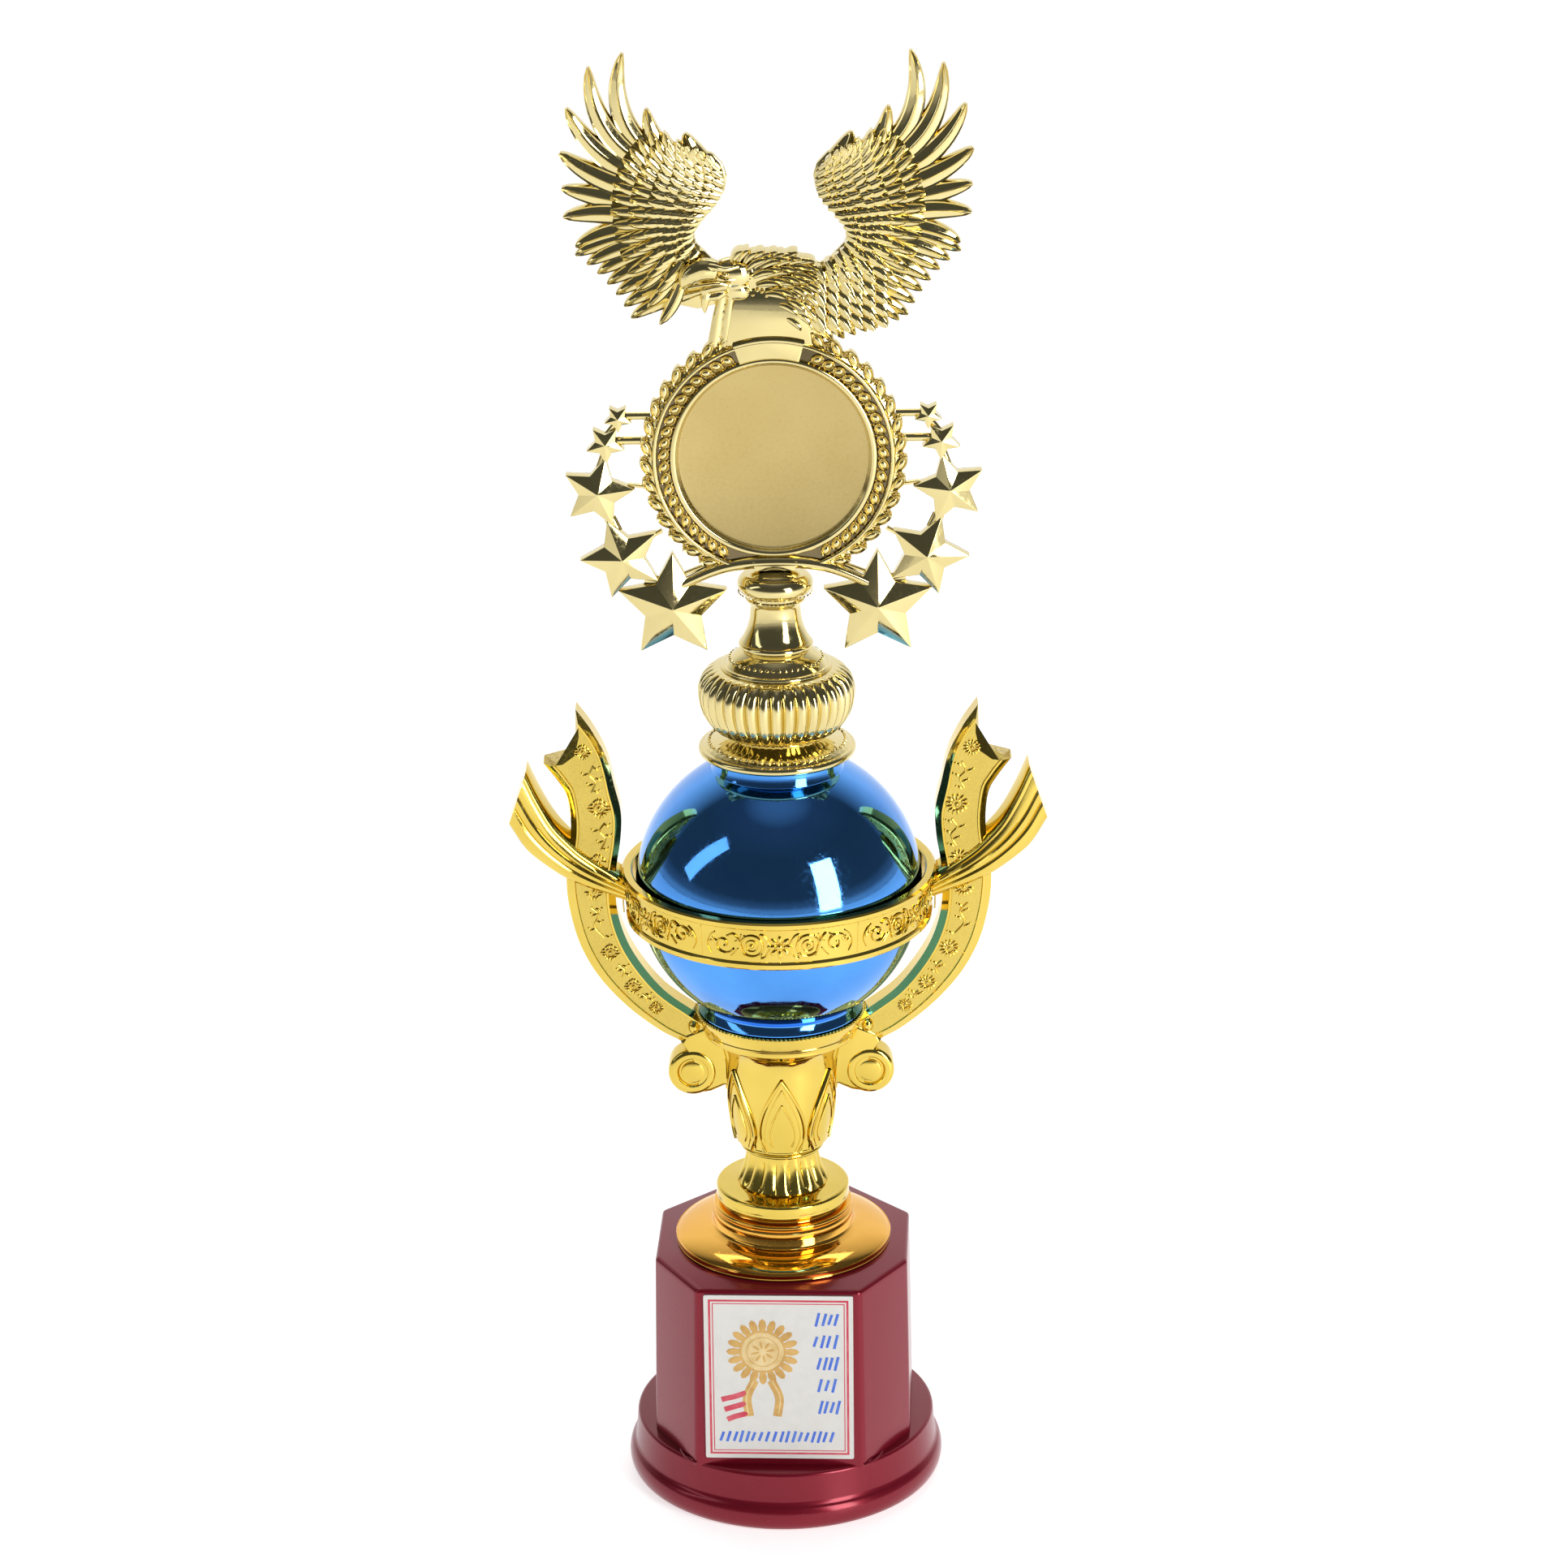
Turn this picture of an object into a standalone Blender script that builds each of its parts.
"""Plastic winner's trophy: plinth, label, collar, cup frame, globe, stem and an eagle figure on top.

Units are metres, +Z up. The origin is at the middle of the plinth's underside, and the front faces -Y.
Pieces are stacked upward: each starts a small clearance above the one that carries it.
"""

import math

import bmesh
import bpy
from mathutils import Matrix, Vector

MM = 0.001
SEAT_GAP = 0.3 * MM

# Flat facets round the turned pieces
WIDE_STEPS = 32
GLOBE_STEPS = 28
SMALL_STEPS = 16
SCROLL_STEPS = 12
FLAT_ANGLE = math.radians(1.5)
WELD = 0.01 * MM

# Plinth: a round foot under an eight-sided block
BLOCK_H = 55.5 * MM
BLOCK_HALF = 36.5 * MM
BLOCK_FRONT_HALF = BLOCK_HALF - 13.0 * MM
BLOCK_SIDE_HALF = BLOCK_HALF - 20.5 * MM
BLOCK_DRAFT = 0.8 * MM
BLOCK_EDGE = 1.2 * MM
FOOT_RIM_R = BLOCK_HALF + 10.0 * MM
FOOT_RIM_H = 8.0 * MM
FOOT_RIM_ROLL = 2.0 * MM
FOOT_TOP_R = FOOT_RIM_R - 2.8 * MM
FOOT_H = 17.5 * MM
BLOCK_SUNK = 1.0 * MM
PLINTH_TURN = math.radians(-2.75)

# Label plate on the front face of the block
LABEL_SIDE_MARGIN = 2.1 * MM
LABEL_BELOW_TOP = 1.2 * MM
LABEL_ABOVE_FOOT = 2.3 * MM
LABEL_W = 2.0 * (BLOCK_FRONT_HALF - LABEL_SIDE_MARGIN)
LABEL_H = BLOCK_H - LABEL_BELOW_TOP - LABEL_ABOVE_FOOT
LABEL_T = 0.5 * MM
LABEL_CORNER = 0.6 * MM

# Collar between plinth and cup
COLLAR_LIP_R = BLOCK_HALF - 5.15 * MM
COLLAR_LIP_H = 1.9 * MM
COLLAR_SHOULDER_R = COLLAR_LIP_R - 3.6 * MM
COLLAR_SHOULDER_H = COLLAR_LIP_H + 1.5 * MM
COLLAR_CONE_H = COLLAR_SHOULDER_H + 1.5 * MM
COLLAR_DRUM_R = COLLAR_LIP_R - 10.95 * MM
COLLAR_GROOVE = 0.6 * MM
COLLAR_GROOVES = 2
COLLAR_DRUM_H = 11.4 * MM
COLLAR_NECK_R = COLLAR_DRUM_R - 2.2 * MM
COLLAR_H = 12.5 * MM

# Goblet, the lower part of the cup frame
CUP_FOOT_R = COLLAR_DRUM_R - 1.0 * MM
CUP_FOOT_H = 5.1 * MM
NECK_FLARE_R = CUP_FOOT_R - 6.5 * MM
NECK_R = NECK_FLARE_R - 2.7 * MM
NECK_FLUTES = 16
FLUTE_DEPTH = 0.9 * MM
NECK_H = 12.3 * MM
BOWL_H = 30.0 * MM
BOWL_BASE_R = 12.7 * MM
BOWL_BEAD_R = BOWL_BASE_R - 0.6 * MM
BOWL_R = BOWL_BASE_R + 3.0 * MM
RIM_FLARE_H = 6.1 * MM
FLARE_MIDDLE_OUT = 1.0 * MM
RIM_LOW_R = BOWL_R + 6.5 * MM
RIM_TOP_R = RIM_LOW_R + 2.0 * MM
RIM_BAND_H = 6.2 * MM
CUP_WALL = 1.5 * MM
PETALS = 6
PETAL_H = BOWL_H - 4.3 * MM
PETAL_PROUD = 0.5 * MM
PETAL_HALF_ANGLE = math.radians(26.0)

# Globe held in the goblet's rim and circled by the ring
GLOBE_R = 40.8 * MM
GLOBE_FOOT_H = 3.7 * MM
GLOBE_FOOT_INSET = 0.7 * MM
GLOBE_FOOT_LEDGE = 0.4 * MM
GLOBE_NECK_R = 18.3 * MM
GLOBE_NECK_H = 4.1 * MM

# Ring band round the globe
RING_CLEAR = 0.8 * MM
RING_WALL_TOP = 3.05 * MM
RING_WALL_LOW = 2.0 * MM
RING_RECESS = 0.9 * MM
RING_EDGE_H = 2.2 * MM
RING_H = 14.3 * MM
RING_BELOW_CENTRE = 1.0 * MM

# Handles, drawn on a grid between the scroll's centre and the ring's side
HANDLE_DEPTH = 8.0 * MM
HANDLE_BEVEL = 1.9 * MM
HANDLE_BEVEL_DEPTH = 1.3 * MM
CROSS_DEPTH = 11.0 * MM
WEB_DEPTH = HANDLE_DEPTH - 0.8 * MM
SCROLL_R = 7.0 * MM
SCROLL_OUT = 9.8 * MM
SCROLL_BELOW_FLARE = 6.6 * MM
SCROLL_BOSS_R = 3.3 * MM
SCROLL_GROOVE_R = SCROLL_BOSS_R + 1.0 * MM
SCROLL_GROOVE_DEPTH = 0.6 * MM
SCROLL_PROUD = 0.3 * MM

# Stem between globe and figure
FLANGE_R = GLOBE_NECK_R + 3.9 * MM
FLANGE_H = 5.6 * MM
WAIST_R = 13.2 * MM
BULB_R = 21.6 * MM
BULB_H = 19.6 * MM
BULB_WIDEST_UP = 12.8 * MM
BULB_RIBS = 36
RIB_DEPTH = 0.55 * MM
SHOULDER_R = 15.6 * MM
SHOULDER_H = 4.5 * MM
TORUS_R = 10.4 * MM
TORUS_H = 3.4 * MM
THROAT_R = 7.1 * MM
THROAT_H = 10.2 * MM
KNOB_R = 10.6 * MM
KNOB_H = 10.4 * MM
KNOB_TOP_R = 5.0 * MM

# Eagle, medal and stars, drawn on a grid that starts at the arch's underside
FIGURE_UNIT = 1.0 * MM
FIGURE_PLATE = 3.8 * MM
FIGURE_BACK = FIGURE_PLATE / 2.0
MEDAL_BACK = FIGURE_BACK - 0.2 * MM
FEATHER_BACK = FIGURE_BACK - 0.3 * MM
STRUT_BACK = FIGURE_BACK - 0.4 * MM
MASS_BACK = FIGURE_BACK - 0.5 * MM
MEDAL_PLATE = 6.0 * MM

# Heights inside each piece, above its own underside
PLINTH_TOP_Z = FOOT_H + BLOCK_H
NECK_Z = CUP_FOOT_H
BOWL_Z = NECK_Z + NECK_H
FLARE_Z = BOWL_Z + BOWL_H
RIM_Z = FLARE_Z + RIM_FLARE_H
RIM_TOP_Z = RIM_Z + RIM_BAND_H
GLOBE_FOOT_R = RIM_TOP_R - GLOBE_FOOT_INSET
GLOBE_SEAT_R = GLOBE_FOOT_R - GLOBE_FOOT_LEDGE
GLOBE_Z = GLOBE_FOOT_H + math.sqrt(GLOBE_R ** 2 - GLOBE_SEAT_R ** 2)
GLOBE_TOP_Z = GLOBE_Z + math.sqrt(GLOBE_R ** 2 - GLOBE_NECK_R ** 2) + GLOBE_NECK_H
RING_Z = RIM_TOP_Z + SEAT_GAP + GLOBE_Z - RING_BELOW_CENTRE
RING_INNER_R = GLOBE_R + RING_CLEAR
RING_OUTER_R = RING_INNER_R + RING_WALL_TOP
SCROLL_X = BOWL_R + SCROLL_OUT
SCROLL_Z = FLARE_Z - SCROLL_BELOW_FLARE
WAIST_Z = FLANGE_H
BULB_TOP_Z = WAIST_Z + BULB_H
TORUS_Z = BULB_TOP_Z + SHOULDER_H
THROAT_Z = TORUS_Z + TORUS_H
KNOB_Z = THROAT_Z + THROAT_H
STEM_TOP_Z = KNOB_Z + KNOB_H

# Undersides of the stacked pieces
COLLAR_BASE = PLINTH_TOP_Z + SEAT_GAP
CUP_BASE = COLLAR_BASE + COLLAR_H + SEAT_GAP
GLOBE_BASE = CUP_BASE + RIM_TOP_Z + SEAT_GAP
STEM_BASE = GLOBE_BASE + GLOBE_TOP_Z + SEAT_GAP
FIGURE_BASE = STEM_BASE + STEM_TOP_Z + SEAT_GAP


# Scene helpers

def clear_scene():
    for obj in list(bpy.data.objects):
        bpy.data.objects.remove(obj)


def new_collection(name):
    collection = bpy.data.collections.new(name)
    bpy.context.scene.collection.children.link(collection)
    return collection


def finish(name, color, roughness, metallic):
    material = bpy.data.materials.new(name)
    material.use_nodes = True
    shader = material.node_tree.nodes["Principled BSDF"]
    shader.inputs["Base Color"].default_value = (*color, 1.0)
    shader.inputs["Roughness"].default_value = roughness
    shader.inputs["Metallic"].default_value = metallic
    material.diffuse_color = (*color, 1.0)
    return material


def from_bmesh(name, bm):
    bmesh.ops.recalc_face_normals(bm, faces=bm.faces)
    mesh = bpy.data.meshes.new(name)
    bm.to_mesh(mesh)
    bm.free()
    obj = bpy.data.objects.new(name, mesh)
    TROPHY.objects.link(obj)
    return obj


def baked(obj, name):
    """A plain mesh object with the modifiers and the place of obj worked in; obj is removed."""
    graph = bpy.context.evaluated_depsgraph_get()
    mesh = bpy.data.meshes.new_from_object(obj.evaluated_get(graph))
    bm = bmesh.new()
    bm.from_mesh(mesh)
    bm.transform(obj.matrix_world)
    bmesh.ops.remove_doubles(bm, verts=bm.verts, dist=0.000002)
    bmesh.ops.dissolve_degenerate(bm, edges=bm.edges, dist=0.000002)
    bpy.data.objects.remove(obj)
    return from_bmesh(name, bm)


def joined(name, pieces):
    """One object that holds all the pieces as separate shells."""
    bm = bmesh.new()
    for piece in pieces:
        bm.from_mesh(piece.data)
        bpy.data.objects.remove(piece)
    return from_bmesh(name, bm)


def boolean(name, base, other, operation):
    modifier = base.modifiers.new(operation, "BOOLEAN")
    modifier.operation = operation
    modifier.solver = "EXACT"
    modifier.use_self = operation == "UNION"
    modifier.object = other
    bpy.context.view_layer.update()
    result = baked(base, name)
    bpy.data.objects.remove(other)
    bm = bmesh.new()
    bm.from_mesh(result.data)
    bmesh.ops.remove_doubles(bm, verts=bm.verts, dist=WELD)
    bmesh.ops.dissolve_degenerate(bm, edges=bm.edges, dist=WELD)
    bmesh.ops.dissolve_limit(bm, angle_limit=FLAT_ANGLE, verts=bm.verts, edges=bm.edges)
    loose = [edge for edge in bm.edges if not edge.link_faces]
    bmesh.ops.delete(bm, geom=loose, context="EDGES")
    stray = [vert for vert in bm.verts if not vert.link_faces]
    bmesh.ops.delete(bm, geom=stray, context="VERTS")
    gaps = [edge for edge in bm.edges if len(edge.link_faces) == 1]
    bmesh.ops.holes_fill(bm, edges=gaps)
    bmesh.ops.recalc_face_normals(bm, faces=bm.faces)
    bm.to_mesh(result.data)
    bm.free()
    return result


def fused(name, pieces):
    return boolean(name, pieces[0], joined(name + "_others", pieces[1:]), "UNION")


# Shape helpers

def arc(centre_r, centre_z, radius_r, radius_z, start, end, count):
    """Points (r, z) along part of an ellipse, from the start to the end angle in degrees."""
    points = []
    for index in range(count + 1):
        angle = math.radians(start + (end - start) * index / count)
        points.append((centre_r + radius_r * math.cos(angle), centre_z + radius_z * math.sin(angle)))
    return points


def curve_point(start, middle, end, share):
    """A point on the quadratic curve that leaves start for middle and arrives at end."""
    a = (1.0 - share) ** 2
    b = 2.0 * share * (1.0 - share)
    c = share ** 2
    return tuple(a * p + b * q + c * r for p, q, r in zip(start, middle, end))


def turned(name, profile, steps, closed=False):
    """A profile of (r, z) points, running down its outer side, turned about the Z axis."""
    edges = [(index, index + 1) for index in range(len(profile) - 1)]
    if closed:
        edges.append((len(profile) - 1, 0))
    mesh = bpy.data.meshes.new(name)
    mesh.from_pydata([(r, 0.0, z) for r, z in profile], edges, [])
    obj = bpy.data.objects.new(name, mesh)
    TROPHY.objects.link(obj)
    screw = obj.modifiers.new("turn", "SCREW")
    screw.steps = steps
    screw.render_steps = steps
    screw.use_merge_vertices = True
    screw.merge_threshold = 0.00001
    bpy.context.view_layer.update()
    return baked(obj, name)


def ribbed(obj, low_z, high_z, count, depth):
    """Push the points of a turned piece in and out around its axis, between two heights."""
    for vertex in obj.data.vertices:
        radius = math.hypot(vertex.co.x, vertex.co.y)
        if radius > depth and low_z < vertex.co.z < high_z:
            angle = math.atan2(vertex.co.y, vertex.co.x)
            fade = math.sin(math.pi * (vertex.co.z - low_z) / (high_z - low_z)) ** 0.5
            change = 1.0 + fade * depth * math.cos(count * angle) / radius
            vertex.co.x *= change
            vertex.co.y *= change
    return obj


def loft(name, rings, tip=None, fold=None):
    """Skin a row of point rings of equal length, closed by flat ends or by one tip point.

    fold names the two points of the first ring between which its end is folded, where that end is not flat.
    """
    bm = bmesh.new()
    rows = [[bm.verts.new(point) for point in ring] for ring in rings]
    for low, high in zip(rows, rows[1:]):
        for index in range(len(low)):
            after = (index + 1) % len(low)
            bm.faces.new((low[index], low[after], high[after], high[index]))
    if fold:
        low, high = fold
        bm.faces.new(rows[0][low:high + 1])
        bm.faces.new(rows[0][high:] + rows[0][:low + 1])
    else:
        bm.faces.new(rows[0])
    if tip:
        point = bm.verts.new(tip)
        for index in range(len(rows[-1])):
            bm.faces.new((rows[-1][index], rows[-1][(index + 1) % len(rows[-1])], point))
    else:
        bm.faces.new(rows[-1])
    return from_bmesh(name, bm)


def slab(name, outline, depth, back):
    """A flat outline of (x, z) points, standing upright with its depth along Y and its back at back."""
    curve = bpy.data.curves.new(name, "CURVE")
    curve.dimensions = "2D"
    curve.fill_mode = "BOTH"
    curve.extrude = depth / 2.0
    spline = curve.splines.new("POLY")
    spline.points.add(len(outline) - 1)
    for point, (x, z) in zip(spline.points, outline):
        point.co = (x, z, 0.0, 1.0)
    spline.use_cyclic_u = True
    obj = bpy.data.objects.new(name, curve)
    TROPHY.objects.link(obj)
    obj.matrix_world = Matrix.Translation((0.0, back - depth / 2.0, 0.0)) @ Matrix.Rotation(math.pi / 2.0, 4, "X")
    bpy.context.view_layer.update()
    return baked(obj, name)


# Plinth and label

def block_outline(grow):
    """The eight corners of the block, pushed outward by grow; the front face is wider than the others."""
    half = BLOCK_HALF + grow
    front = BLOCK_FRONT_HALF + grow
    side = BLOCK_SIDE_HALF + grow
    right = [(front, -half), (half, -side), (half, side), (side, half)]
    return right + [(-x, y) for x, y in reversed(right)]


def make_plinth():
    rim = arc(FOOT_RIM_R - FOOT_RIM_ROLL, FOOT_RIM_H / 2.0, FOOT_RIM_ROLL, FOOT_RIM_H / 2.0, 60.0, -60.0, 3)
    profile = [(0.0, FOOT_H), (FOOT_TOP_R, FOOT_H), (FOOT_RIM_R - FOOT_RIM_ROLL, FOOT_RIM_H)]
    profile += rim
    profile += [(FOOT_RIM_R - FOOT_RIM_ROLL, 0.0), (0.0, 0.0)]
    foot = turned("plinth_foot", profile, WIDE_STEPS)
    low = [(x, y, FOOT_H - BLOCK_SUNK) for x, y in block_outline(BLOCK_DRAFT)]
    high = [(x, y, PLINTH_TOP_Z) for x, y in block_outline(0.0)]
    block = loft("plinth_block", [low, high])
    bm = bmesh.new()
    bm.from_mesh(block.data)
    sharp = [edge for edge in bm.edges if max(vert.co.z for vert in edge.verts) > FOOT_H]
    bmesh.ops.bevel(bm, geom=sharp, offset=BLOCK_EDGE, segments=1, profile=0.5, affect="EDGES")
    bm.to_mesh(block.data)
    bm.free()
    plinth = fused("plinth", [foot, block])
    plinth.rotation_euler.z = PLINTH_TURN
    return plinth


def make_label():
    lean = math.atan2(BLOCK_DRAFT, BLOCK_H)
    centre_z = PLINTH_TOP_Z - LABEL_BELOW_TOP - LABEL_H / 2.0
    face_y = BLOCK_HALF + BLOCK_DRAFT * (PLINTH_TOP_Z - centre_z) / BLOCK_H
    bm = bmesh.new()
    bmesh.ops.create_cube(bm, size=1.0)
    bmesh.ops.scale(bm, vec=(LABEL_W, LABEL_T, LABEL_H), verts=bm.verts)
    corners = [edge for edge in bm.edges if abs(edge.verts[0].co.y - edge.verts[1].co.y) > LABEL_T / 2.0]
    bmesh.ops.bevel(bm, geom=corners, offset=LABEL_CORNER, segments=1, profile=0.5, affect="EDGES")
    label = from_bmesh("label_plate", bm)
    out = face_y + SEAT_GAP + LABEL_T / 2.0
    place = Matrix.Translation((0.0, -out, centre_z)) @ Matrix.Rotation(-lean, 4, "X")
    label.matrix_world = Matrix.Rotation(PLINTH_TURN, 4, "Z") @ place
    return label


# Collar

def make_collar():
    pitch = (COLLAR_DRUM_H - COLLAR_CONE_H) / COLLAR_GROOVES
    profile = [(0.0, COLLAR_H), (COLLAR_NECK_R, COLLAR_H)]
    profile += [(COLLAR_NECK_R, COLLAR_DRUM_H + COLLAR_GROOVE)]
    for groove in range(COLLAR_GROOVES):
        top = COLLAR_DRUM_H - groove * pitch
        profile += [(COLLAR_DRUM_R, top), (COLLAR_DRUM_R, top - 0.6 * pitch)]
        profile += [(COLLAR_DRUM_R - COLLAR_GROOVE, top - 0.8 * pitch)]
    profile += [(COLLAR_DRUM_R, COLLAR_CONE_H), (COLLAR_SHOULDER_R, COLLAR_SHOULDER_H)]
    profile += [(COLLAR_LIP_R - COLLAR_GROOVE, COLLAR_LIP_H)]
    profile += [(COLLAR_LIP_R, COLLAR_LIP_H / 2.0)]
    profile += [(COLLAR_LIP_R - COLLAR_GROOVE / 2.0, 0.0), (0.0, 0.0)]
    return turned("collar", profile, SMALL_STEPS)


# Cup frame: goblet, ring and two handles in one moulding

def bowl_radius(height):
    """Outer radius of the goblet's bowl at a height above its base."""
    share = min(max(height / BOWL_H, 0.0), 1.0)
    return BOWL_BASE_R + (BOWL_R - BOWL_BASE_R) * math.sin(share * math.pi / 2.0) ** 0.75


def make_goblet():
    foot = [(0.0, NECK_Z), (NECK_FLARE_R, NECK_Z)]
    roll = CUP_FOOT_H / 2.0
    foot += arc(CUP_FOOT_R - roll, 0.9 * roll, roll, 0.8 * roll, 90.0, -90.0, 3)
    foot += [(CUP_FOOT_R - roll, 0.0), (0.0, 0.0)]
    foot_disc = turned("cup_foot", foot, SMALL_STEPS)

    neck = [(0.0, BOWL_Z + MM), (NECK_R, BOWL_Z + MM), (NECK_R, BOWL_Z - 0.25 * NECK_H)]
    neck += [(NECK_R + 0.4 * (NECK_FLARE_R - NECK_R), BOWL_Z - 0.6 * NECK_H)]
    neck += [(NECK_FLARE_R, BOWL_Z - 0.88 * NECK_H), (NECK_FLARE_R - MM, NECK_Z - MM), (0.0, NECK_Z - MM)]
    flutes = turned("cup_neck", neck, NECK_FLUTES * 2)
    ribbed(flutes, NECK_Z - 2.0 * MM, BOWL_Z + 0.5 * MM, NECK_FLUTES, FLUTE_DEPTH)

    bowl = [(0.0, RIM_TOP_Z), (RIM_TOP_R, RIM_TOP_Z), (RIM_TOP_R - 0.2 * MM, RIM_TOP_Z - 1.2 * MM)]
    bowl += [(RIM_LOW_R + 0.2 * MM, RIM_Z + 1.4 * MM), (RIM_LOW_R, RIM_Z)]
    bowl += [(RIM_LOW_R - 1.2 * MM, RIM_Z - 0.6 * MM)]
    bowl.append((BOWL_R + FLARE_MIDDLE_OUT, FLARE_Z + 0.4 * RIM_FLARE_H))
    for share in (0.95, 0.4, 0.12, 0.0):
        bowl.append((bowl_radius(share * BOWL_H), BOWL_Z + share * BOWL_H))
    bowl += [(BOWL_BEAD_R - 0.7 * MM, BOWL_Z - 0.6 * MM), (0.0, BOWL_Z - 0.6 * MM)]
    bowl_solid = turned("cup_bowl", bowl, SMALL_STEPS)
    return [foot_disc, flutes, bowl_solid]


def make_petals():
    """Pointed lotus petals standing proud of the bowl."""
    petals = []
    shares = (0.04, 0.4, 0.75)
    for number in range(PETALS):
        middle = -math.pi / 2.0 + number * 2.0 * math.pi / PETALS
        rings = []
        for share in shares:
            z = BOWL_Z + share * PETAL_H
            half = PETAL_HALF_ANGLE * (1.0 - share ** 1.3)
            outer = bowl_radius(share * PETAL_H) + PETAL_PROUD
            inner = outer - PETAL_PROUD - CUP_WALL / 2.0
            spots = ((outer, middle - half), (outer, middle), (outer, middle + half), (inner, middle))
            rings.append([(r * math.cos(a), r * math.sin(a), z) for r, a in spots])
        reach = bowl_radius(PETAL_H) - CUP_WALL / 3.0
        tip = (reach * math.cos(middle), reach * math.sin(middle), BOWL_Z + PETAL_H)
        petals.append(loft("petal", rings, tip))
    return petals


def make_ring():
    low = RING_Z - RING_H / 2.0
    high = RING_Z + RING_H / 2.0
    face_top = RING_OUTER_R - RING_RECESS
    outer_low = RING_INNER_R + RING_WALL_LOW
    face_low = outer_low - RING_RECESS * 0.7
    edge = RING_EDGE_H
    profile = [(RING_INNER_R, high), (RING_OUTER_R, high)]
    profile += [(RING_OUTER_R - 0.2 * MM, high - edge), (face_top, high - edge - 0.5 * MM)]
    profile += [(face_low, low + edge + 0.5 * MM), (outer_low, low + edge)]
    profile += [(outer_low - 0.1 * MM, low), (RING_INNER_R, low)]
    return turned("ring", profile, WIDE_STEPS, closed=True)


# Grid point of the ring's side, on the grid that the handles are drawn on
RING_ON_GRID = (18.7, 55.5)


def on_handle(side, out, up):
    """A grid point of a handle as (x, z): 0, 0 is the scroll's centre."""
    x = SCROLL_X + out / RING_ON_GRID[0] * (RING_OUTER_R - SCROLL_X)
    z = SCROLL_Z + up / RING_ON_GRID[1] * (RING_Z - SCROLL_Z)
    return side * x, z


def toward(point, target, distance):
    step = Vector(target) - Vector(point)
    reach = min(distance, 0.45 * step.length)
    return tuple(Vector(point) + step.normalized() * reach)


def ribbon_section(outer, middle, inner, depth, bevel, crown):
    """One cross-section of a flat ribbon with bevelled edges, as a ring of points."""
    half = depth / 2.0
    edge = half - HANDLE_BEVEL_DEPTH
    outer_in = toward(outer, middle, bevel)
    inner_in = toward(inner, middle, bevel)
    row = [(outer, edge), (outer_in, half), (middle, half + crown), (inner_in, half), (inner, edge)]
    ring = [(x, -y, z) for (x, z), y in row]
    ring += [(x, half, z) for x, z in (inner, middle, outer)]
    return ring


# Outer and inner edge of each station down the main ribbon, from its swallow-tailed top to the goblet
MAIN_RIBBON = [
    ((39.3, 95.2), (30.1, 111.2)),
    ((35.6, 90.0), (25.6, 104.4)),
    ((33.2, 85.6), (22.0, 96.6)),
    ((32.3, 79.6), (20.0, 88.0)),
    ((32.4, 73.2), (18.4, 80.1)),
    ((33.4, 66.1), (18.7, 72.0)),
    ((33.9, 58.5), (20.1, 62.6)),
    ((33.1, 50.0), (20.3, 52.4)),
    ((30.5, 39.7), (18.5, 43.5)),
    ((25.7, 30.1), (14.6, 35.0)),
    ((18.4, 21.1), (7.6, 25.5)),
    ((9.8, 13.6), (-1.0, 18.6)),
    ((3.1, 9.5), (-6.0, 15.0)),
]
SWALLOW_TAIL = (32.2, 102.1)

# Upper and lower edge of each station along the ribbon that crosses it and joins the ring
CROSS_RIBBON = [
    ((44.1, 93.3), (49.3, 77.3)),
    ((41.0, 85.8), (45.1, 70.1)),
    ((36.9, 77.9), (40.2, 65.3)),
    ((32.6, 72.4), (33.7, 60.5)),
    ((27.7, 67.6), (27.1, 57.2)),
    ((17.4, 60.3), (16.9, 53.4)),
]

# The web between ribbon, scroll and goblet
WEB = [(-13.0, 13.6), (-6.0, 15.4), (2.0, 12.0), (3.2, 9.4), (1.2, 6.2), (-1.5, 0.0), (-1.0, -6.9),
       (-5.0, -6.2), (-9.0, -4.4), (-13.0, -4.4)]


def make_handle(side):
    rings = []
    for number, (outer, inner) in enumerate(MAIN_RIBBON):
        middle = SWALLOW_TAIL if number == 0 else tuple((a + b) / 2.0 for a, b in zip(outer, inner))
        points = [on_handle(side, *point) for point in (outer, middle, inner)]
        rings.append(ribbon_section(*points, HANDLE_DEPTH, HANDLE_BEVEL, 0.0))
    ribbon = loft("ribbon", rings, fold=(2, 6))

    rings = []
    for upper, lower in CROSS_RIBBON:
        middle = tuple((a + b) / 2.0 for a, b in zip(upper, lower))
        points = [on_handle(side, *point) for point in (upper, middle, lower)]
        rings.append(ribbon_section(*points, CROSS_DEPTH, HANDLE_BEVEL * 1.4, 0.5 * MM))
    cross = loft("cross_ribbon", rings)

    web = slab("web", [on_handle(side, *point) for point in WEB], WEB_DEPTH, WEB_DEPTH / 2.0)
    half = HANDLE_DEPTH / 2.0 + SCROLL_PROUD
    front = [(0.0, half), (SCROLL_BOSS_R, half), (SCROLL_BOSS_R + 0.3 * MM, half - SCROLL_GROOVE_DEPTH)]
    front += [(SCROLL_GROOVE_R, half), (SCROLL_R - 1.0 * MM, half), (SCROLL_R, half - HANDLE_BEVEL_DEPTH)]
    scroll = turned("scroll", front + [(SCROLL_R, -half), (0.0, -half)], SCROLL_STEPS)
    stand = Matrix.Translation((side * SCROLL_X, 0.0, SCROLL_Z)) @ Matrix.Rotation(math.pi / 2.0, 4, "X")
    scroll.data.transform(stand)
    return [ribbon, cross, web, scroll]


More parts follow.
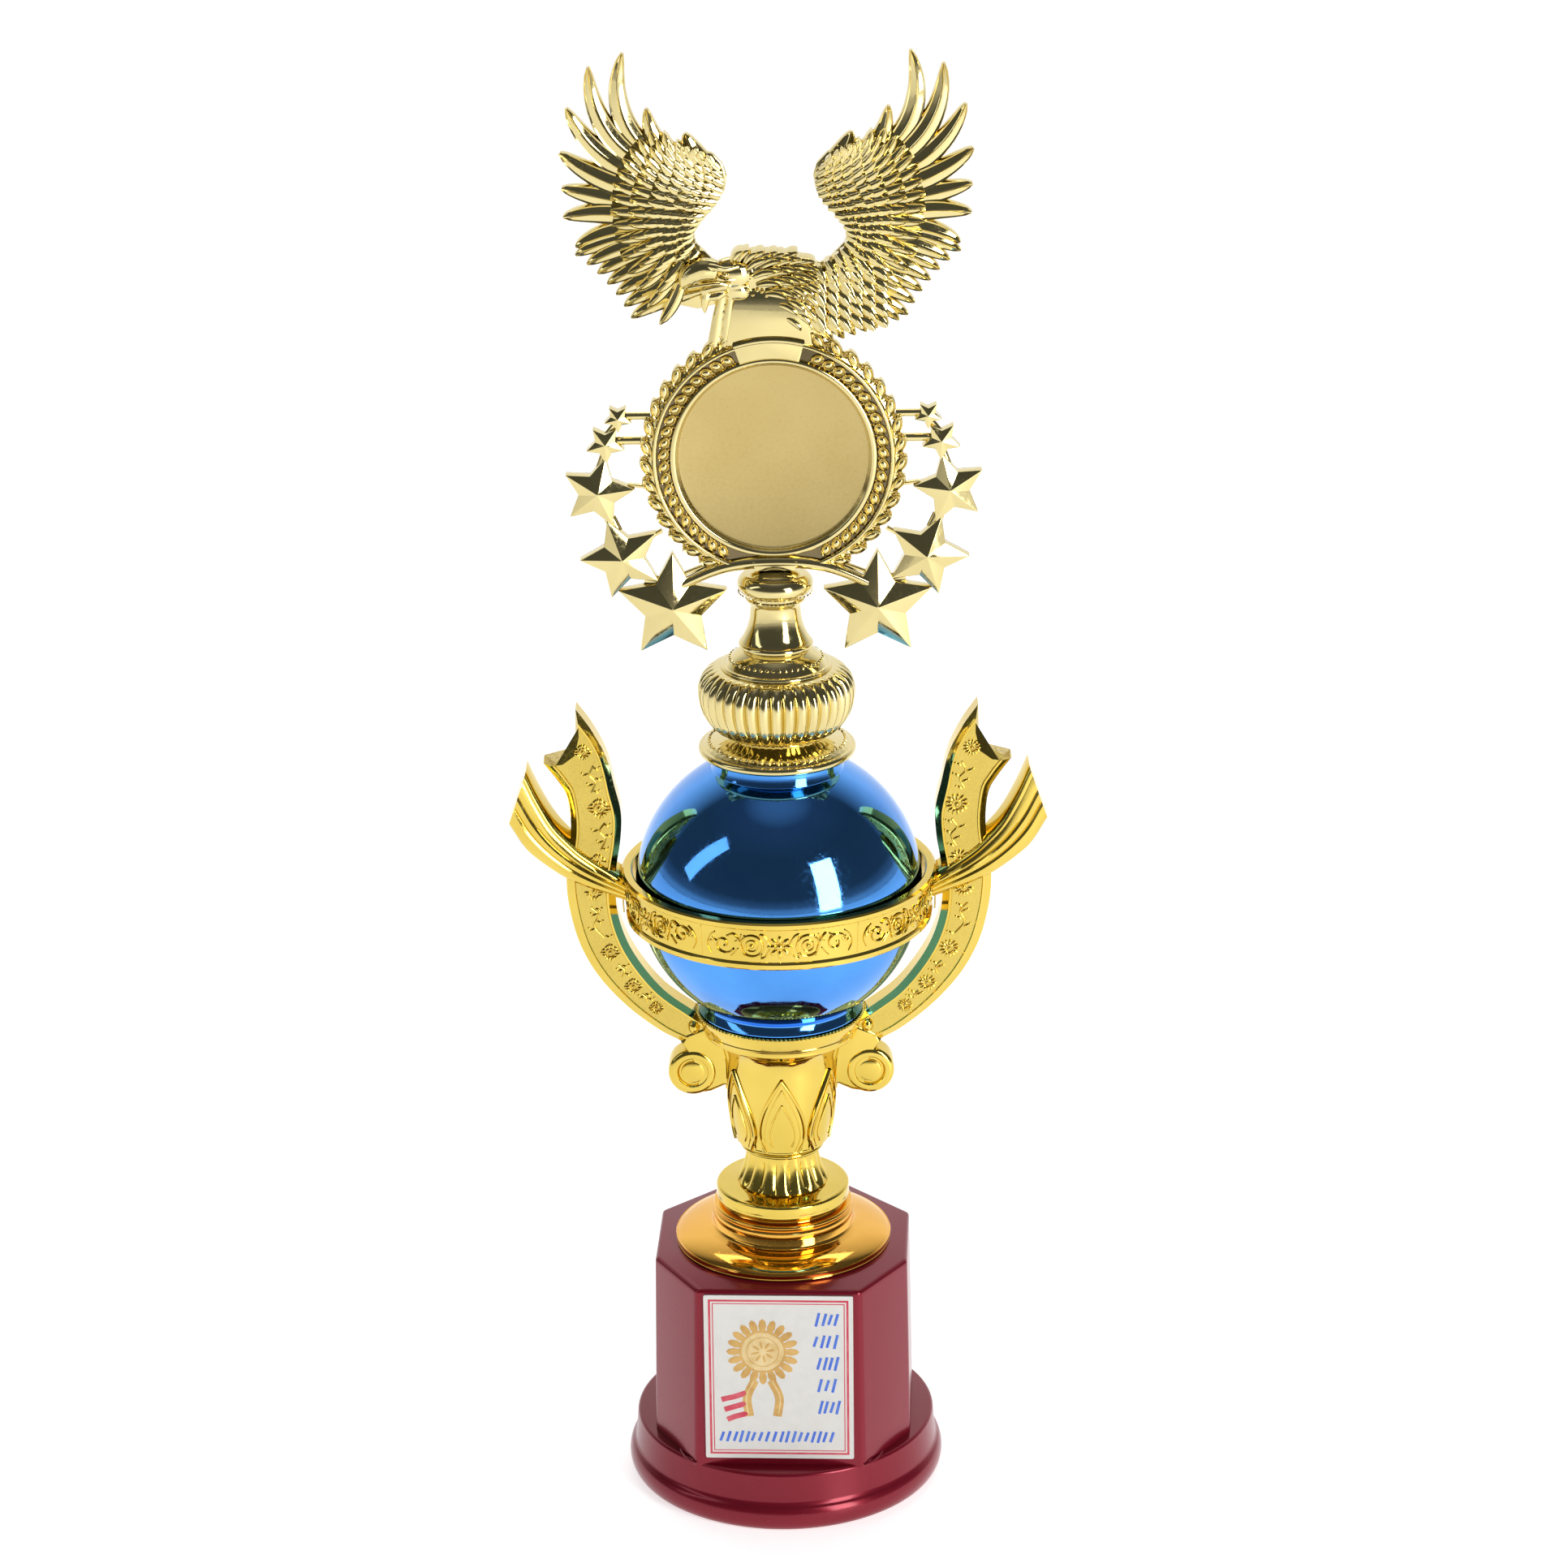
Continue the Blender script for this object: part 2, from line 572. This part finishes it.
def make_cup_frame():
    pieces = make_goblet() + make_petals() + [make_ring()]
    for side in (-1.0, 1.0):
        pieces += make_handle(side)
    solid = fused("cup_solid", pieces)

    above = RIM_TOP_Z + RIM_BAND_H
    hollow = [(0.0, above), (RIM_TOP_R - CUP_WALL, above), (RIM_TOP_R - CUP_WALL, RIM_TOP_Z - 1.2 * MM)]
    hollow.append((RIM_LOW_R - CUP_WALL, RIM_Z + CUP_WALL))
    hollow.append((BOWL_R + FLARE_MIDDLE_OUT - CUP_WALL, FLARE_Z + 0.4 * RIM_FLARE_H + 0.6 * CUP_WALL))
    hollow.append((BOWL_R - CUP_WALL, FLARE_Z))
    hollow.append((bowl_radius(0.4 * BOWL_H) - CUP_WALL, BOWL_Z + 0.4 * BOWL_H))
    hollow += [(BOWL_BASE_R - 2.0 * CUP_WALL, BOWL_Z + CUP_WALL), (0.0, BOWL_Z + CUP_WALL)]
    cavity = turned("cup_cavity", hollow, SMALL_STEPS)
    return boolean("cup_frame", solid, cavity, "DIFFERENCE")


# Globe

def make_globe():
    profile = [(0.0, GLOBE_TOP_Z), (GLOBE_NECK_R, GLOBE_TOP_Z)]
    top_angle = math.degrees(math.acos(GLOBE_NECK_R / GLOBE_R))
    foot_angle = -math.degrees(math.acos(GLOBE_SEAT_R / GLOBE_R))
    profile += arc(0.0, GLOBE_Z, GLOBE_R, GLOBE_R, top_angle, foot_angle, 9)
    profile += [(GLOBE_FOOT_R, GLOBE_FOOT_H - GLOBE_FOOT_LEDGE), (GLOBE_FOOT_R, 0.0), (0.0, 0.0)]
    return turned("globe", profile, GLOBE_STEPS)


# Stem

def make_stem():
    base = [(0.0, WAIST_Z + MM), (WAIST_R, WAIST_Z + MM), (WAIST_R, WAIST_Z)]
    base += [(WAIST_R + 2.4 * MM, 0.72 * FLANGE_H), (FLANGE_R - 1.2 * MM, 0.45 * FLANGE_H)]
    base += [(FLANGE_R, 0.22 * FLANGE_H), (FLANGE_R - 0.8 * MM, 0.0), (0.0, 0.0)]
    flange = turned("flange", base, SMALL_STEPS)

    widest_z = WAIST_Z + BULB_WIDEST_UP
    bulb = [(0.0, BULB_TOP_Z)]
    bulb += arc(SHOULDER_R, widest_z, BULB_R - SHOULDER_R, BULB_TOP_Z - widest_z, 90.0, 0.0, 2)
    bulb += arc(WAIST_R, widest_z, BULB_R - WAIST_R, BULB_WIDEST_UP - 0.5 * MM, -30.0, -90.0, 2)
    bulb += [(0.0, WAIST_Z + 0.5 * MM)]
    ribs = turned("bulb", bulb, BULB_RIBS * 2)
    ribbed(ribs, WAIST_Z + MM, BULB_TOP_Z - 0.5 * MM, BULB_RIBS, RIB_DEPTH)

    top = [(0.0, STEM_TOP_Z), (KNOB_TOP_R, STEM_TOP_Z), (KNOB_TOP_R + 2.2 * MM, STEM_TOP_Z - 0.9 * MM)]
    top += arc(THROAT_R, KNOB_Z + 0.6 * KNOB_H, KNOB_R - THROAT_R, 0.3 * KNOB_H, 50.0, -60.0, 2)
    top += [(THROAT_R + 0.9 * MM, KNOB_Z + 0.08 * KNOB_H), (THROAT_R, KNOB_Z)]
    for share in (0.5, 0.0):
        flare = THROAT_R + (TORUS_R - 0.6 * MM - THROAT_R) * (1.0 - share) ** 2
        top.append((flare, THROAT_Z + share * THROAT_H))
    top += [(TORUS_R, TORUS_Z + 0.5 * TORUS_H), (TORUS_R - 0.5 * MM, TORUS_Z)]
    top += [(SHOULDER_R - 2.2 * MM, BULB_TOP_Z + 0.45 * SHOULDER_H), (SHOULDER_R - 0.6 * MM, BULB_TOP_Z)]
    top += [(SHOULDER_R - 1.0 * MM, BULB_TOP_Z - MM), (0.0, BULB_TOP_Z - MM)]
    spindle = turned("spindle", top, SMALL_STEPS)
    return fused("stem", [flange, ribs, spindle])


# Top figure

def on_figure(x, z):
    """A grid point of the figure as (x, z) in metres; 0, 0 is the arch's underside."""
    return x * FIGURE_UNIT, z * FIGURE_UNIT


def blade(side, root, tip, bow, width, thickness, sections=4, root_share=0.6):
    """A curved feather or leaf with a ridge down its front and a flat back.

    root and tip are grid points; bow is the bulge of its middle, as a share of its length.
    """
    start = Vector((side * root[0], root[1]))
    end = Vector((side * tip[0], tip[1]))
    along = end - start
    square = Vector((-along.y, along.x)) * (bow * 2.0 * side)
    middle = (start + end) / 2.0 + square
    widest = 0.42
    back = FEATHER_BACK
    rings = []
    for number in range(sections):
        share = number / sections
        point = Vector(curve_point(start, middle, end, share))
        ahead = Vector(curve_point(start, middle, end, share + 0.02))
        heading = (ahead - point).normalized()
        across = Vector((-heading.y, heading.x))
        if share < widest:
            swell = root_share + (1.0 - root_share) * math.sin(share / widest * math.pi / 2.0)
        else:
            swell = math.cos((share - widest) / (1.0 - widest) * math.pi / 2.0) ** 0.5
        half = width / 2.0 * swell
        lift = thickness / 2.0 * (1.0 - 0.55 * share) * FIGURE_UNIT
        left = on_figure(*(point + across * half))
        right = on_figure(*(point - across * half))
        centre = on_figure(*point)
        rings.append([(left[0], back, left[1]), (centre[0], -lift, centre[1]), (right[0], back, right[1])])
    reach = on_figure(*end)
    return loft("blade", rings, (reach[0], back, reach[1]))


# Long outer feathers: root, tip, bow and width
PRIMARIES = [
    ((26.5, 113.5), (38.3, 144.8), -0.20, 5.2),
    ((28.5, 112.0), (47.4, 141.1), -0.17, 5.4),
    ((30.5, 109.5), (53.6, 129.7), -0.12, 5.4),
    ((32.0, 106.5), (55.7, 117.6), -0.07, 5.6),
    ((33.0, 103.0), (55.4, 107.8), -0.01, 5.4),
    ((33.5, 99.5), (55.1, 100.0), 0.05, 5.2),
    ((33.5, 96.5), (52.0, 91.8), 0.06, 5.4),
]
INNER_FEATHERS = [
    ((20.0, 112.0), (32.4, 129.4), -0.16, 5.0),
    ((13.5, 111.0), (22.4, 122.4), -0.10, 5.5),
]
WING_PLATE = [(11.6, 110.9), (12.6, 114.0), (15.5, 117.0), (20.0, 118.0), (26.0, 118.6), (33.0, 116.0),
              (39.0, 110.0), (41.5, 103.0), (41.0, 95.0), (38.5, 86.0), (35.0, 79.0), (29.0, 76.0),
              (20.0, 74.0), (12.0, 76.0), (9.0, 84.0), (16.0, 88.0), (20.3, 92.6), (20.6, 95.2),
              (18.6, 98.4), (14.6, 102.9), (12.2, 107.0)]
LEFT_WING_SPREAD = 1.015
RIGHT_WING_SPREAD = 0.985

# Three grid points of the curve that each row of feathers starts or ends on
LOWER_TIPS = ((52.0, 89.4), (42.6, 82.2), (37.6, 71.8))
LOWER_ROOTS = ((34.0, 95.0), (27.0, 90.0), (19.0, 79.5))
COVERT_TIPS = ((28.5, 121.5), (43.0, 112.0), (36.5, 90.0))
COVERT_ROOTS = ((21.5, 113.5), (31.0, 107.0), (27.0, 92.5))
FLANK_TIPS = ((33.2, 69.8), (26.0, 68.0), (16.7, 65.2))
FLANK_ROOTS = ((22.0, 79.5), (15.0, 77.0), (8.5, 73.5))


def feather_row(side, roots, tips, count, bow, width, thickness, sections):
    """A row of equal feathers whose roots and tips lie on two curves."""
    row = []
    for number in range(count):
        share = number / (count - 1)
        root = curve_point(*roots, share)
        tip = curve_point(*tips, share)
        row.append(blade(side, root, tip, bow, width, thickness, sections))
    return row


def make_wing(side):
    spread = LEFT_WING_SPREAD if side < 0.0 else RIGHT_WING_SPREAD
    pieces = [slab("wing_plate", [on_figure(side * x, z) for x, z in WING_PLATE], FIGURE_PLATE * 0.8, FIGURE_BACK)]
    for root, tip, bow, width in PRIMARIES + INNER_FEATHERS:
        pieces.append(blade(side * spread, root, tip, bow / spread, width * 1.1, 4.2, 4))
    pieces += feather_row(side * spread, LOWER_ROOTS, LOWER_TIPS, 7, 0.05, 4.4, 3.8, 2)
    pieces += feather_row(side * spread, COVERT_ROOTS, COVERT_TIPS, 6, -0.05, 5.4, 5.2, 2)
    if side > 0.0:
        pieces += feather_row(side, FLANK_ROOTS, FLANK_TIPS, 6, 0.04, 4.2, 4.4, 2)
    return pieces


BODY = [(-16.8, 66.3), (-16.4, 72.0), (-15.2, 78.0), (-13.5, 84.0), (-9.8, 90.4), (-3.0, 90.6), (6.6, 89.6),
        (13.4, 86.7), (18.7, 88.6), (20.0, 80.0), (18.4, 66.6)]


def sliced(bm, point, normal):
    """Cut away what lies beyond a plane and close the cut with one flat face."""
    whole = bm.verts[:] + bm.edges[:] + bm.faces[:]
    cut = bmesh.ops.bisect_plane(bm, geom=whole, plane_co=point, plane_no=normal, clear_outer=True)
    rim = [item for item in cut["geom_cut"] if isinstance(item, bmesh.types.BMEdge)]
    bmesh.ops.contextual_create(bm, geom=rim)


def ellipsoid(x, z, forward, half_x, half_y, half_z, turn=0.0):
    """A low rounded mass of the bird, given on the figure's grid."""
    bm = bmesh.new()
    bmesh.ops.create_uvsphere(bm, u_segments=10, v_segments=6, radius=1.0)
    place = on_figure(x, z)
    size = Matrix.Diagonal((half_x * FIGURE_UNIT, half_y * FIGURE_UNIT, half_z * FIGURE_UNIT, 1.0))
    spot = Matrix.Translation((place[0], forward * FIGURE_UNIT, place[1]))
    bm.transform(spot @ Matrix.Rotation(turn, 4, "Y") @ size)
    sliced(bm, (0.0, MASS_BACK, 0.0), (0.0, 1.0, 0.0))
    return from_bmesh("mass", bm)


def make_eagle():
    pieces = [slab("body", [on_figure(x, z) for x, z in BODY], FIGURE_PLATE * 1.1, FIGURE_BACK)]
    pieces.append(ellipsoid(0.0, 78.0, -0.6, 15.5, 4.0, 11.5))
    pieces.append(ellipsoid(-12.2, 84.2, -1.4, 8.2, 4.0, 5.6, math.radians(-8.0)))
    beak_rings = []
    for x, top, low, half in ((-16.0, 88.0, 79.5, 2.6), (-19.6, 87.2, 79.4, 1.9), (-22.4, 85.4, 80.2, 1.1)):
        upper = on_figure(x, top)
        lower = on_figure(x, low)
        y = half * FIGURE_UNIT
        back = -1.4 * FIGURE_UNIT
        beak_rings.append([(upper[0], back - y * 0.5, upper[1]), (upper[0], back + y * 0.5, upper[1]),
                           (lower[0], back + y, lower[1]), (lower[0], back - y, lower[1])])
    hook = on_figure(-23.9, 80.0)
    pieces.append(loft("beak", beak_rings, (hook[0], -1.4 * FIGURE_UNIT, hook[1])))
    pieces.append(blade(1.0, (-14.0, 81.0), (-18.2, 73.4), 0.10, 3.4, 5.4, 3, 0.8))
    for number in range(7):
        share = number / 6.0
        root = (-9.0 + 17.0 * share, 88.2 - 2.2 * share)
        tip = (root[0] + 5.6, root[1] + 2.9 - 1.8 * share)
        pieces.append(blade(1.0, root, tip, 0.08, 3.4, 6.4, 2, 0.8))
    return pieces


# Grid point of the medal's centre, and the level at which its disc is cut off above the stem
MEDAL_CENTRE = (0.0, 32.2)
MEDAL_FOOT = (0.0, 1.0)


def make_medal():
    half = MEDAL_PLATE / 2.0
    unit = FIGURE_UNIT
    front = [(0.0, half - 1.9 * MM), (26.2 * unit, half - 1.9 * MM), (27.2 * unit, half - 0.2 * MM)]
    front += [(28.3 * unit, half - 0.1 * MM), (28.7 * unit, half - 1.5 * MM), (32.0 * unit, half - 1.5 * MM)]
    front += [(32.4 * unit, half), (33.3 * unit, half - 0.1 * MM), (33.7 * unit, half - 1.0 * MM)]
    medal = turned("medal", front + [(33.7 * unit, -MEDAL_BACK), (0.0, -MEDAL_BACK)], WIDE_STEPS)
    place = on_figure(*MEDAL_CENTRE)
    bm = bmesh.new()
    bm.from_mesh(medal.data)
    bpy.data.objects.remove(medal)
    bm.transform(Matrix.Translation((0.0, 0.0, place[1])) @ Matrix.Rotation(math.pi / 2.0, 4, "X"))
    sliced(bm, (0.0, 0.0, on_figure(*MEDAL_FOOT)[1]), (0.0, 0.0, -1.0))
    return from_bmesh("medal", bm)


LEAVES = 14
LEAF_FIRST = math.radians(70.0)
LEAF_LAST = math.radians(-56.0)


def make_leaves(side):
    """The outer wreath: leaves that lean downward along the medal's edge."""
    leaves = []
    for number in range(LEAVES):
        angle = LEAF_FIRST + (LEAF_LAST - LEAF_FIRST) * number / (LEAVES - 1)
        back = angle + math.radians(5.0)
        ahead = angle - math.radians(5.6)
        root = (32.6 * math.cos(back), MEDAL_CENTRE[1] + 32.6 * math.sin(back))
        tip = (36.2 * math.cos(ahead), MEDAL_CENTRE[1] + 36.2 * math.sin(ahead))
        leaves.append(blade(side, root, tip, 0.12, 3.2, 4.2, 2, 0.7))
    return leaves


def star(x, z, radius, turn, front):
    """A five-pointed star with a raised centre; it stands on two points where turn is 0."""
    bm = bmesh.new()
    bmesh.ops.create_cone(bm, cap_ends=True, segments=10, radius1=1.0, radius2=1.0, depth=1.0)
    for vertex in bm.verts:
        angle = math.atan2(vertex.co.y, vertex.co.x)
        is_point = round((math.degrees(angle) - 90.0) / 36.0) % 2 == 0
        reach = radius * FIGURE_UNIT * (1.0 if is_point else STAR_DIP)
        spot = angle + turn
        vertex.co.x = reach * math.cos(spot)
        vertex.co.y = reach * math.sin(spot)
        vertex.co.z *= FIGURE_PLATE
    caps = [face for face in bm.faces if len(face.verts) == 10 and face.calc_center_median().z > 0.0]
    bmesh.ops.poke(bm, faces=caps, offset=front * FIGURE_UNIT)
    place = on_figure(x, z)
    bm.transform(Matrix.Translation((place[0], 0.0, place[1])) @ Matrix.Rotation(math.pi / 2.0, 4, "X"))
    return from_bmesh("star", bm)


# Centre, radius, turn in degrees and centre height of each star on the left; the right mirrors them
STAR_DIP = 0.52
STARS = [
    ((42.5, 43.7), 3.9, 36.0, 0.9),
    ((46.1, 36.4), 5.5, 37.0, 1.1),
    ((48.5, 22.6), 10.2, -13.0, 2.0),
    ((42.1, 3.6), 11.8, 20.0, 2.4),
    ((28.4, -10.7), 15.8, 0.0, 3.0),
]


def bar(start, end, width, depth):
    """A straight flat bar between two grid points."""
    first = Vector(on_figure(*start))
    last = Vector(on_figure(*end))
    side = (last - first).normalized()
    across = Vector((-side.y, side.x)) * (width / 2.0 * FIGURE_UNIT)
    corners = [first - across, last - across, last + across, first + across]
    return slab("bar", [tuple(corner) for corner in corners], depth, STRUT_BACK)


# Start, end, width and depth of each strut between medal, stars and arch on the right; the left mirrors them
STRUTS = [
    ((34.0, 43.9), (41.0, 43.9), 2.2, 0.6),
    ((34.0, 36.9), (44.0, 36.9), 2.4, 0.6),
    ((42.9, 42.0), (45.6, 39.0), 1.8, 0.55),
    ((46.6, 33.0), (48.0, 29.5), 2.0, 0.55),
    ((35.0, 23.6), (40.0, 24.3), 1.2, 0.5),
    ((45.4, 14.5), (43.6, 11.0), 3.6, 0.6),
    ((31.0, 11.0), (33.5, 9.6), 1.4, 0.5),
    ((36.0, -3.4), (31.5, -4.6), 4.2, 0.6),
    ((16.0, 2.0), (25.0, -1.6), 1.5, 0.6),
    ((15.4, 3.9), (15.9, 0.1), 2.2, 0.6),
]


def make_stars(side):
    pieces = []
    for (x, z), radius, turn, front in STARS:
        pieces.append(star(side * x, z, radius, math.radians(-side * turn), front))
    for start, end, width, depth in STRUTS:
        ends = [(side * x, z) for x, z in (start, end)]
        pieces.append(bar(*ends, width, FIGURE_PLATE * depth))
    return pieces


# Arch under the medal: its upper curve, and its underside with the flat that stands on the stem
ARCH_TOP = ((-29.0, -4.4), (0.0, 12.4), (29.0, -4.4))
ARCH_UNDERSIDE = [(29.0, -6.8), (22.0, -3.7), (15.0, -1.4), (5.4, 0.0), (-5.4, 0.0), (-15.0, -1.4),
                  (-22.0, -3.7), (-29.0, -6.8)]
ARCH_STEPS = 10
BRIDGE = ((-10.6, 64.6), (8.8, 64.6), 5.4)


def make_arch():
    upper = [curve_point(*ARCH_TOP, step / ARCH_STEPS) for step in range(ARCH_STEPS + 1)]
    outline = [on_figure(x, z) for x, z in upper + ARCH_UNDERSIDE]
    return slab("arch", outline, FIGURE_PLATE * 1.5, FIGURE_BACK)


def make_top_figure():
    pieces = [make_medal(), make_arch()]
    pieces.append(bar(*BRIDGE, MEDAL_PLATE))
    pieces += make_eagle()
    for side in (-1.0, 1.0):
        pieces += make_wing(side) + make_leaves(side) + make_stars(side)
    return fused("top_figure", pieces)


clear_scene()
TROPHY = new_collection("trophy")

MAROON = finish("maroon_pearl", (0.22, 0.015, 0.03), 0.3, 0.3)
PRINTED = finish("label_white", (0.75, 0.73, 0.68), 0.45, 0.0)
AMBER_GOLD = finish("amber_gold", (0.80, 0.42, 0.08), 0.12, 1.0)
YELLOW_GOLD = finish("yellow_gold", (0.72, 0.50, 0.07), 0.12, 1.0)
PALE_GOLD = finish("pale_gold", (0.70, 0.56, 0.26), 0.14, 1.0)
BLUE_CHROME = finish("blue_chrome", (0.05, 0.22, 0.70), 0.08, 1.0)

for build, look, base in (
        (make_plinth, MAROON, 0.0),
        (make_label, PRINTED, 0.0),
        (make_collar, AMBER_GOLD, COLLAR_BASE),
        (make_cup_frame, YELLOW_GOLD, CUP_BASE),
        (make_globe, BLUE_CHROME, GLOBE_BASE),
        (make_stem, PALE_GOLD, STEM_BASE),
        (make_top_figure, PALE_GOLD, FIGURE_BASE)):
    piece = build()
    piece.location.z += base
    piece.data.materials.clear()
    piece.data.materials.append(look)
